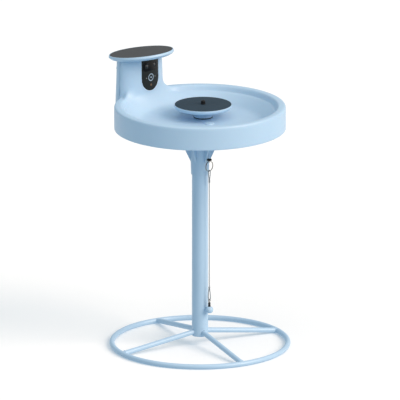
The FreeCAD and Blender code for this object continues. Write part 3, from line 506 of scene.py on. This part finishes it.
def pull_ball():
    """The full-cheeked ball, with a moulding groove round its middle and a socket on top."""
    foot, top = low("pull_ball").z, high("pull_ball").z
    half = (top - foot) / 2
    radius = (high("pull_ball").x - low("pull_ball").x) / 2
    outline = [(0, foot)]
    steps = 24
    for step in range(1, steps - 2):
        angle = math.pi * (step / steps - 0.5)
        groove = 0.15 if step == steps / 2 else 0
        outline.append((radius * math.cos(angle) ** 0.8 - groove,
                        foot + half * (1 + math.sin(angle))))
    outline += [(3.2, top - 0.2), (3.0, top - 1.4), (0, top - 1.4)]
    piece = lathe("pull_ball_shell", outline, (drain.x, drain.y, 0), steps=64, crease=60)
    return settle(piece, "ball", "blue_plastic", "pull_ball")


def pull_cord(pieces):
    """The cord: up round the ring and back, straight down, and round the swivel's eye.

    Its route is a list of distances across the drain's axis and heights.
    """
    ring_foot = low("pull_ring").z + RING_WIRE_R
    eye_top = high("swivel_eye").z - 1
    knot_top = high("upper_knot").z
    knot_foot = low("upper_knot").z
    end_top = high("lower_knot").z
    end_foot = low("lower_knot").z
    half = 3.3
    route = [
        (-0.9, knot_top - 4), (-1.1, knot_top + 1), (-half * 0.8, knot_top + 10),
        (-half, ring_foot + 2.4), (half, ring_foot + 2.4), (half * 0.8, knot_top + 10),
        (1.1, knot_top + 1), (0.9, knot_top - 8), (0, knot_foot - 2), (0, knot_foot - 12),
        (0, (knot_foot + end_top) / 2), (0, end_top + 12), (0, end_top + 1),
        (-0.9, end_foot + 2), (-1.2, end_foot - 3), (-half, end_foot - 14),
        (-half, eye_top - 2.3), (half, eye_top - 2.3), (half, end_foot - 14),
        (1.2, end_foot - 3), (0.9, end_foot + 2)]
    curve = bpy.data.curves.new("pull_cord_line", "CURVE")
    curve.dimensions = "3D"
    curve.bevel_depth = CORD_WIDE / 2 * MM
    curve.bevel_resolution = 5
    curve.resolution_u = 10
    curve.use_fill_caps = True
    spline = curve.splines.new("NURBS")
    spline.points.add(len(route) - 1)
    for spot, (across, z) in zip(spline.points, route):
        spot.co = (drain.x * MM, (drain.y + across) * MM, z * MM, 1)
    spline.order_u = 3
    spline.use_endpoint_u = True
    cord = bpy.data.objects.new("pull_cord_line", curve)
    bpy.context.scene.collection.objects.link(cord)
    settle(cord, "pull", "cord_grey", "pull_cord", "upper_loop", "lower_loop")
    return cord


def stem_bar():
    """The slim round bar on the stem's end, and the steel staple that holds the ring."""
    foot, top = high("stem_end_cap").z - 4, high("stem_end_cap").z
    radius = high("stem_end_cap").x - drain.x
    pivot = high("pull_ring").z - RING_WIRE_R
    bar = lathe("stem_bar", [
        (0, foot), (radius, foot, 1.2), (radius, top, 1.2), (2.6, top), (2.6, top + 1.2, 0.4),
        (0, top + 1.2)], (drain.x, drain.y, 0), steps=48)
    settle(bar, "drain", "black_plastic", "stem_end_cap")
    half = 2.2
    wire_r = 0.6
    staple = [(drain.x, drain.y - half, foot + 1)]
    for step in range(13):
        angle = math.pi * step / 12
        staple.append((drain.x, drain.y - half * math.cos(angle),
                       pivot - wire_r - 1.8 * math.sin(angle)))
    staple.append((drain.x, drain.y + half, foot + 1))
    settle(wire("ring_staple", [staple], wire_r), "drain", "steel")


def valve_spring():
    """The drain's spring with closed end turns, drawn once at rest and baked in place, so it does
    not shorten with the stem.
    """
    foot, top = low("drain_spring").z, high("drain_spring").z
    wire_r = 0.38
    turns = 7
    closed = 0.75
    steps = 28
    reach = high("drain_spring").x - drain.x - wire_r
    path = []
    for step in range(turns * steps + 1):
        turned = step / steps
        rise = min(max((turned - closed) / (turns - 2 * closed), 0), 1)
        path.append(about_drain(reach, 2 * math.pi * turned,
                                foot + 0.5 + (top - foot - 1) * rise))
    spring = wire("valve_spring_wire", [path], wire_r)
    spring.data.materials.append(finishes["steel"])
    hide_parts("drain_spring")
    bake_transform(spring)


stem_bar()
valve_spring()
split_ring()
knots = [coil_knot("upper_knot_turns", "upper_knot"),
         coil_knot("lower_knot_turns", "lower_knot", turns=2)]
eye_wire, eye_shank = swivel_eye()
pull_cord([*knots, eye_wire, eye_shank, swivel_barrel(), pull_ball()])


# ---------------------------------------------------------------- basin and tower front

FLOOR_Z = low("drain_strainer").z
FLOOR_FLAT_R = 100
BASIN_WALL = 3.5
LEDGE_R = 171
LEDGE_Z = 566
BASIN_R = 200.0
BASIN_FOOT = 525.0
RIM_TOP = 580.0
TOWER_Y = 190.5
# The tower's oval is given at three heights, and is straight between them.
TOWER_HEIGHTS = (527, 600, 690)
TOWER_HALF_X = (73.8, 70.3, 66.3)
TOWER_HALF_Y = (39, 37.2, 35.8)
SPLIT_Y = low("rear_cover_seal").y  # where the tower's back comes off
TOWER_WALL = 3.0
PANEL_TILT = 8.0
PANEL_CENTRE = Vector((0, 183, 662.1))
PANEL_FLAT_R = 50.0
PANEL_R = 75.4
PANEL_DEEP = 14.0
FACE_HALF = high("camera_faceplate").x
FACE_ARC_Z = low("camera_faceplate").z + FACE_HALF
GRID = 1.6  # the spacing of the grid that the basin's surface is drawn from
BOSS_FOOT = 531.5
DRAIN_HOLE_R = 5
HUB_SCREWS = 6
HUB_SCREW_CIRCLE_R = 50
# The basin's outlines are closed at this height, well under its foot.
CLOSED_AT = 400


def polygon_distance(corners, across, up):
    """Signed distance from points of a plane to a closed outline, negative inside."""
    nearest = np.full(across.shape, 1e9)
    sign = np.ones(across.shape)
    ends = list(corners[1:]) + [corners[0]]
    for (x0, y0), (x1, y1) in zip(corners, ends):
        edge = (x1 - x0, y1 - y0)
        away = (across - x0, up - y0)
        share = (away[0] * edge[0] + away[1] * edge[1]) / max(edge[0] ** 2 + edge[1] ** 2, 1e-9)
        share = np.clip(share, 0, 1)
        gap = (away[0] - edge[0] * share) ** 2 + (away[1] - edge[1] * share) ** 2
        nearest = np.minimum(nearest, gap)
        above = up >= y0
        under = up < y1
        left = edge[0] * away[1] > edge[1] * away[0]
        crosses = (above & under & left) | (~above & ~under & ~left)
        sign = np.where(crosses, -sign, sign)
    return np.sqrt(nearest) * sign


def turned_distance(corners, radius, heights):
    """The distance field of an outline turned about the upright axis, on a grid."""
    spacing = 0.5
    radii = np.arange(0, radius.max() + 2, spacing)
    table = polygon_distance([tuple(point) for point in rounded(corners)],
                             radii[:, None], heights[None, :])
    place_in_table = radius / spacing
    index = np.minimum(place_in_table.astype(int), len(radii) - 2)
    share = (place_in_table - index)[:, :, None]
    return table[index] * (1 - share) + table[index + 1] * share


def joined(first, second, blend):
    """Two distance fields as one, with a fillet of about blend where they meet."""
    overlap = np.maximum(blend - np.abs(first - second), 0) / blend
    return np.minimum(first, second) - overlap ** 2 * blend / 4


def less(first, second, round_by=0.6):
    """The first distance field with the second taken out of it."""
    return -joined(-first, second, round_by)


def smooth_step(value, start, end):
    """0 before the start, 1 after the end, and an easy change between them."""
    share = np.clip((value - start) / (end - start), 0, 1)
    return share * share * (3 - 2 * share)


def column_distance(x, y, z, inset=0.0):
    """Distance to the tower's oval column, which narrows upwards."""
    half_x = np.interp(z, TOWER_HEIGHTS, TOWER_HALF_X) - inset
    half_y = np.interp(z, TOWER_HEIGHTS, TOWER_HALF_Y) - inset
    deep = y - TOWER_Y
    outer = np.sqrt((x / half_x) ** 2 + (deep / half_y) ** 2)
    slope = np.sqrt((x / half_x ** 2) ** 2 + (deep / half_y ** 2) ** 2)
    return outer * (outer - 1) / np.maximum(slope, 1e-6)


def stadium_distance(x, z, half):
    """Distance to an upright slot with a round lower end, open at its top."""
    below = np.minimum(z - FACE_ARC_Z, 0)
    return np.sqrt(x ** 2 + below ** 2) - half


def under_panel(x, y, z):
    """Height above the underside of the tilted panel's dish, negative below it."""
    tilt = math.radians(PANEL_TILT)
    deep = y - PANEL_CENTRE.y
    rise = z - PANEL_CENTRE.z
    height = deep * math.sin(tilt) + rise * math.cos(tilt)
    out = np.sqrt(x ** 2 + (deep * math.cos(tilt) - rise * math.sin(tilt)) ** 2)
    share_out = np.clip((out - PANEL_FLAT_R) / (PANEL_R + 1.9 - PANEL_FLAT_R), 0, 1)
    gap = 0.4
    return height - 8.7 * share_out ** 1.6 - gap


def rod_distance(x, y, centre, radius):
    """Distance to an endless upright rod."""
    return np.hypot(x - centre[0], y - centre[1]) - radius


def basin_field(x, y, z, heights):
    """The distance field of the basin moulded in one with the tower's front."""
    radius = np.hypot(x, y)[:, :, 0]
    top = turned_distance([
        (0, FLOOR_Z), (FLOOR_FLAT_R, FLOOR_Z), (140, FLOOR_Z + 1.5, 30), (LEDGE_R, LEDGE_Z, 4),
        (LEDGE_R + 5, LEDGE_Z + 1.5, 1.5), (LEDGE_R + 10, RIM_TOP - 2, 5),
        (LEDGE_R + 13, RIM_TOP, 2), (BASIN_R, RIM_TOP, 6), (BASIN_R, CLOSED_AT), (0, CLOSED_AT)],
        radius, heights)
    under = FLOOR_Z - BASIN_WALL
    skirt_in = BASIN_R - BASIN_WALL
    cavity = turned_distance([
        (0, under), (FLOOR_FLAT_R, under), (142, under + 1.5, 30), (LEDGE_R + 5, LEDGE_Z - 2.5),
        (LEDGE_R + 11, RIM_TOP - 9, 2), (skirt_in, RIM_TOP - 7, 2), (skirt_in, CLOSED_AT),
        (0, CLOSED_AT)], radius, heights)

    # The tower runs into the bowl with a wide fillet, widest at the floor, and none outside.
    column = column_distance(x, y, z)
    inside = 1 - smooth_step(np.hypot(x, y), BASIN_R - 20, BASIN_R - 3)
    low_front = 1 - smooth_step(z, FLOOR_Z + 12, FLOOR_Z + 50)
    blend = 1.0 + inside * (26 + 18 * low_front)
    solid = joined(top, column, blend)

    # The hollow under the floor stops at the tower, which has a bay of its own.
    solid = less(solid, np.maximum(cavity, -column), 1.0)
    bay = np.maximum(column_distance(x, y, z, TOWER_WALL), BASIN_FOOT + 5 - z)
    solid = less(solid, bay)

    # A raised lip goes round the faceplate, which sits in a shallow pocket.
    slot = stadium_distance(x, z, FACE_HALF)
    front = y - (TOWER_Y - 12)
    lip = np.maximum(np.maximum(np.abs(slot - 1.3) - 1.1, np.abs(column) - 1.1), front)
    solid = joined(solid, lip, 1.2)
    pocket = np.maximum(np.maximum(slot - 0.15, -column - 1.8), front)
    solid = less(solid, pocket)

    # The tower ends under the panel's dish, and its back half is the rear cover.
    solid = np.maximum(solid, under_panel(x, y, z))
    solid = less(solid, np.maximum(column - 0.15, SPLIT_Y - y), 0.3)

    # The floor has pads for the hub's screws, and a boss round the drain's hole.
    for *centre, boss_r in boss_spots():
        boss = np.maximum(rod_distance(x, y, centre, boss_r),
                          np.maximum(BOSS_FOOT - z, z - FLOOR_Z + 2))
        solid = joined(solid, boss, 1.5)
    hole = np.maximum(rod_distance(x, y, (drain.x, drain.y), DRAIN_HOLE_R), z - LEDGE_Z + 6)
    solid = less(solid, hole, 0.8)
    return np.maximum(solid, BASIN_FOOT - z)


def boss_spots():
    """Centre and radius of the drain's boss and of each screw's pad under the floor."""
    spots = [(drain.x, drain.y, 10.5)]
    for step in range(HUB_SCREWS):
        angle = math.radians(45 + 360 / HUB_SCREWS * step)
        spots.append((HUB_SCREW_CIRCLE_R * math.cos(angle),
                      HUB_SCREW_CIRCLE_R * math.sin(angle), 5.2))
    return spots


def moulded_basin():
    """The basin and the tower's front as one smooth moulding."""
    room = 4
    start = (-BASIN_R - room, -BASIN_R - room, BASIN_FOOT - room)
    end = (BASIN_R + room, SPLIT_Y + room, PANEL_CENTRE.z + PANEL_DEEP)
    lines = [np.arange(a, b, GRID) for a, b in zip(start, end)]
    x, y, z = np.meshgrid(*lines, indexing="ij", sparse=True)
    field = basin_field(x, y, z, lines[2])
    band = 3 * GRID
    grid = openvdb.FloatGrid(band)
    grid.copyFromArray(np.clip(field, -band, band).astype(np.float32))
    points, triangles, quads = grid.convertToPolygons(isovalue=0.0, adaptivity=0.02)
    places = points * GRID + np.array(start)
    faces = [tuple(face[::-1]) for face in triangles.tolist()]
    faces += [tuple(face[::-1]) for face in quads.tolist()]
    piece = mesh_object("basin_moulding", places.tolist(), faces, crease=70)
    outward(piece)
    return settle(piece, "bowl", "blue_plastic", "basin")


moulded_basin()


# ---------------------------------------------------------------- solar panel on the tower


def panel_dish():
    """The dish under the cells, with a rounded underside and a thin bright rim."""
    seat = PANEL_DEEP - 1.5
    piece = lathe("panel_dish", [
        (0, 0), (PANEL_FLAT_R, 0, 14), (PANEL_R - 4, 3.6, 10), (PANEL_R + 1.9, 9, 3),
        (PANEL_R, PANEL_DEEP, 1.2), (PANEL_R - 1.4, PANEL_DEEP, 0.4), (PANEL_R - 1.4, seat),
        (PANEL_R - 7, seat), (PANEL_R - 7, 8), (PANEL_FLAT_R, 2.2), (0, 2.2)],
        PANEL_CENTRE, tilt=-PANEL_TILT, steps=128)
    return settle(piece, "bowl", "blue_plastic", "panel_housing")


def panel_cells():
    """The round laminate of cells, with a softened edge."""
    foot, top = PANEL_DEEP - 1.3, PANEL_DEEP - 0.08
    edge = PANEL_R - 1.5
    piece = lathe("panel_cells", [(0, foot), (edge, foot), (edge, top, 0.5), (0, top)],
                  PANEL_CENTRE, tilt=-PANEL_TILT, steps=128)
    return settle(piece, "bowl", "solar_cells", "solar_cell_panel")


panel_dish()
panel_cells()


# ---------------------------------------------------------------- cameras


def face_front(piece, x, y, z):
    """Turn a piece made upright to face the front, and move it to a point in millimetres."""
    piece.data.transform(Matrix.Rotation(math.radians(90), 4, "X"))
    piece.data.transform(Matrix.Translation(Vector((x, y, z)) * MM))


def camera_lens(node):
    """A lens: its base and barrel, a stepped bezel through the window, and a domed glass."""
    back = high(node).y
    face = low("lens_window").y
    x, z = middle(node).x, middle(node).z
    deep = back - face
    barrel = lathe(node + "_barrel", [
        (0, -deep), (7.5, -deep), (7.5, -0.4, 0.3), (6.6, 0.35, 0.2), (5.8, 0.35, 0.2),
        (4.6, -0.9), (0, -0.9)], (0, 0, 0), steps=48)
    glass = lathe(node + "_glass", [
        (0, -0.85), (4.5, -0.85), (3.4, 0.2, 1.6), (1.8, 0.9, 1.4), (0, 1.1)],
        (0, 0, 0), steps=48, crease=80)
    for piece in (barrel, glass):
        face_front(piece, x, face + 0.55, z)
    settle(glass, "bowl", "window_glass", finish=LENS_GLASS)
    return settle(barrel, "bowl", "black_plastic", node)


def icon_dot():
    """The small lit dot in the middle of the icon ring."""
    ring = middle("icon_ring")
    face = low("icon_ring").y
    dot = lathe("icon_dot", [(0, -0.6), (2.2, -0.6), (2.2, 0.25, 0.1), (0, 0.25)],
                (0, 0, 0), steps=40)
    face_front(dot, ring.x, face + 0.1, ring.z)
    return settle(dot, "bowl", "white_plastic", finish=LIT_MARK)


icon_dot()
for camera_node in ("camera_left", "camera_right"):
    camera_lens(camera_node)


# ---------------------------------------------------------------- fountain


def fountain_float():
    """The shallow dish that floats, with a thin raised lip round the cells."""
    centre = middle("fountain_float")
    foot, top = low("fountain_float").z, high("fountain_float").z
    rim = high("fountain_float").x - centre.x
    piece = lathe("fountain_dish", [
        (18, foot), (rim - 3, foot, 3), (rim, foot + 4.5, 2.5), (rim, top, 0.6),
        (rim - 1.3, top, 0.4), (rim - 1.4, top - 1.4), (4.3, top - 1.4), (4.3, top - 2.6),
        (rim - 2.4, top - 2.6), (rim - 2.4, foot + 3.6), (rim - 4.2, foot + 1.8),
        (18, foot + 1.8)], (centre.x, centre.y, 0), steps=128)
    return settle(piece, "fountain", "blue_plastic", "fountain_float")


def fountain_cells():
    """The ring of cells on the float."""
    centre = middle("fountain_solar_disc")
    foot, top = low("fountain_solar_disc").z, high("fountain_solar_disc").z
    radius = high("fountain_solar_disc").x - centre.x
    piece = lathe("fountain_cells", [
        (4.4, foot), (radius, foot), (radius, top, 0.3), (6.4, top), (6.2, top + 0.3, 0.1),
        (4.4, top + 0.3)], (centre.x, centre.y, 0), steps=128)
    return settle(piece, "fountain", "solar_cells", "fountain_solar_disc",
                  finish=FOUNTAIN_LAMINATE)


def fountain_nozzle():
    """The push-on spray cap: a fluted skirt and a domed head with one jet hole in its middle."""
    centre = middle("fountain_nozzle")
    foot, top = low("fountain_nozzle").z, high("fountain_nozzle").z
    radius = high("fountain_nozzle").x - centre.x
    piece = lathe("spray_cap", [
        (4.1, foot), (radius, foot, 0.3), (radius, foot + 2.2, 0.3), (radius - 0.8, foot + 2.6),
        (radius - 0.8, top - 3, 0.3), (radius - 0.2, top - 2.6, 0.3), (radius - 0.9, top - 0.9, 1),
        (1.6, top, 1), (1.0, top - 0.4), (1.0, top - 3), (4.1, top - 3)],
        (centre.x, centre.y, 0), steps=48)
    ridges = []
    count = 16
    reach = radius - 0.75
    for step in range(count):
        angle = 2 * math.pi * step / count
        spot = (centre.x + reach * math.cos(angle), centre.y + reach * math.sin(angle))
        ridges.append([(*spot, foot + 2.6), (*spot, top - 3.2)])
    settle(wire("spray_cap_ridges", ridges, 0.28, sides=2), "nozzle", "black_plastic")
    return settle(piece, "nozzle", "black_plastic", "fountain_nozzle")


fountain_float()
fountain_cells()
fountain_nozzle()


# ---------------------------------------------------------------- stand

SPOKE_TURN = -19.2
SPOKE_TOP = 35.6
RIPPLES = 14


def weld_beads():
    """A rippled bead of weld round each spoke's end on the base ring."""
    bar = high("base_ring").z / 2
    reach = high("base_ring").x - bar
    bead = 1.0
    rings = []
    for quarter in range(4):
        angle = math.radians(SPOKE_TURN + 90 * quarter)
        out = Vector((math.cos(angle), math.sin(angle), (bar - SPOKE_TOP) / reach)).normalized()
        side = Vector((-math.sin(angle), math.cos(angle), 0))
        up = out.cross(side)
        along = (reach - bar - 0.6) / math.hypot(out.x, out.y)
        centre = Vector((0, 0, SPOKE_TOP)) + out * along
        ring = []
        steps = 60
        for step in range(steps):
            turn = 2 * math.pi * step / steps
            wave = bar + 0.25 * math.sin(RIPPLES * turn)
            spot = centre + side * wave * math.cos(turn) + up * wave * math.sin(turn)
            spot.z = max(spot.z, bead)
            ring.append(spot)
        rings.append(ring)
    piece = wire("weld_beads", rings, bead, closed=True)
    return settle(piece, "stand", "stand_paint")


weld_beads()


# ---------------------------------------------------------------- the CAD nodes' finishes

own_finishes = {"icon_ring": LIT_MARK, "indicator_lights": UNLIT_MARK,
                "motion_sensor_lens": AMBER_LENS}
for subpart in frame["record"]["subparts"]:
    mesh = nodes[subpart["node"]].data
    mesh.materials.clear()
    mesh.materials.append(own_finishes.get(subpart["node"], finishes[subpart["material_slot"]]))


# ---------------------------------------------------------------- floor and light


def floor():
    """A wide pale floor, which throws no light or colour back on the object."""
    reach = 30
    mesh = bpy.data.meshes.new("floor")
    mesh.from_pydata([(-reach, -reach, 0), (reach, -reach, 0), (reach, reach, 0),
                      (-reach, reach, 0)], [], [(0, 1, 2, 3)])
    piece = bpy.data.objects.new("floor", mesh)
    bpy.context.scene.collection.objects.link(piece)
    mesh.materials.append(finish_material(
        "floor_paint", (0.96, 0.96, 0.96), 0.7, drift=0.004, drift_scale=2, grain_scale=200,
        Emission_Strength=0.06))
    piece.visible_diffuse = False
    piece.visible_shadow = False


def sun(name, azimuth, rise, strength, softness, colour):
    """A broad soft light from a direction; azimuth 0 shines along +Y."""
    light = bpy.data.lights.new(name, "SUN")
    light.color = colour
    light.energy = strength
    light.angle = math.radians(softness)
    lamp = bpy.data.objects.new(name, light)
    bpy.context.scene.collection.objects.link(lamp)
    a, e = math.radians(azimuth), math.radians(rise)
    source = Vector((math.sin(a) * math.cos(e), -math.cos(a) * math.cos(e), math.sin(e)))
    lamp.rotation_mode = "QUATERNION"
    lamp.rotation_quaternion = source.to_track_quat("Z", "Y")
    lamp.location = source * 3


floor()
sun("key", 15, 35, 2.46, 40, (1.0, 0.83, 0.70))
sun("top", -60, 70, 0.67, 60, (1.0, 0.85, 0.75))
sun("bounce", 30, -60, 0.7, 90, (0.9, 0.95, 1.0))
world = bpy.data.worlds.new("studio")
world.use_nodes = True
sky = world.node_tree.nodes["Background"]
sky.inputs["Color"].default_value = (0.74, 0.9, 1.0, 1)
sky.inputs["Strength"].default_value = 0.58
bpy.context.scene.world = world
bpy.context.scene.view_settings.view_transform = "Standard"
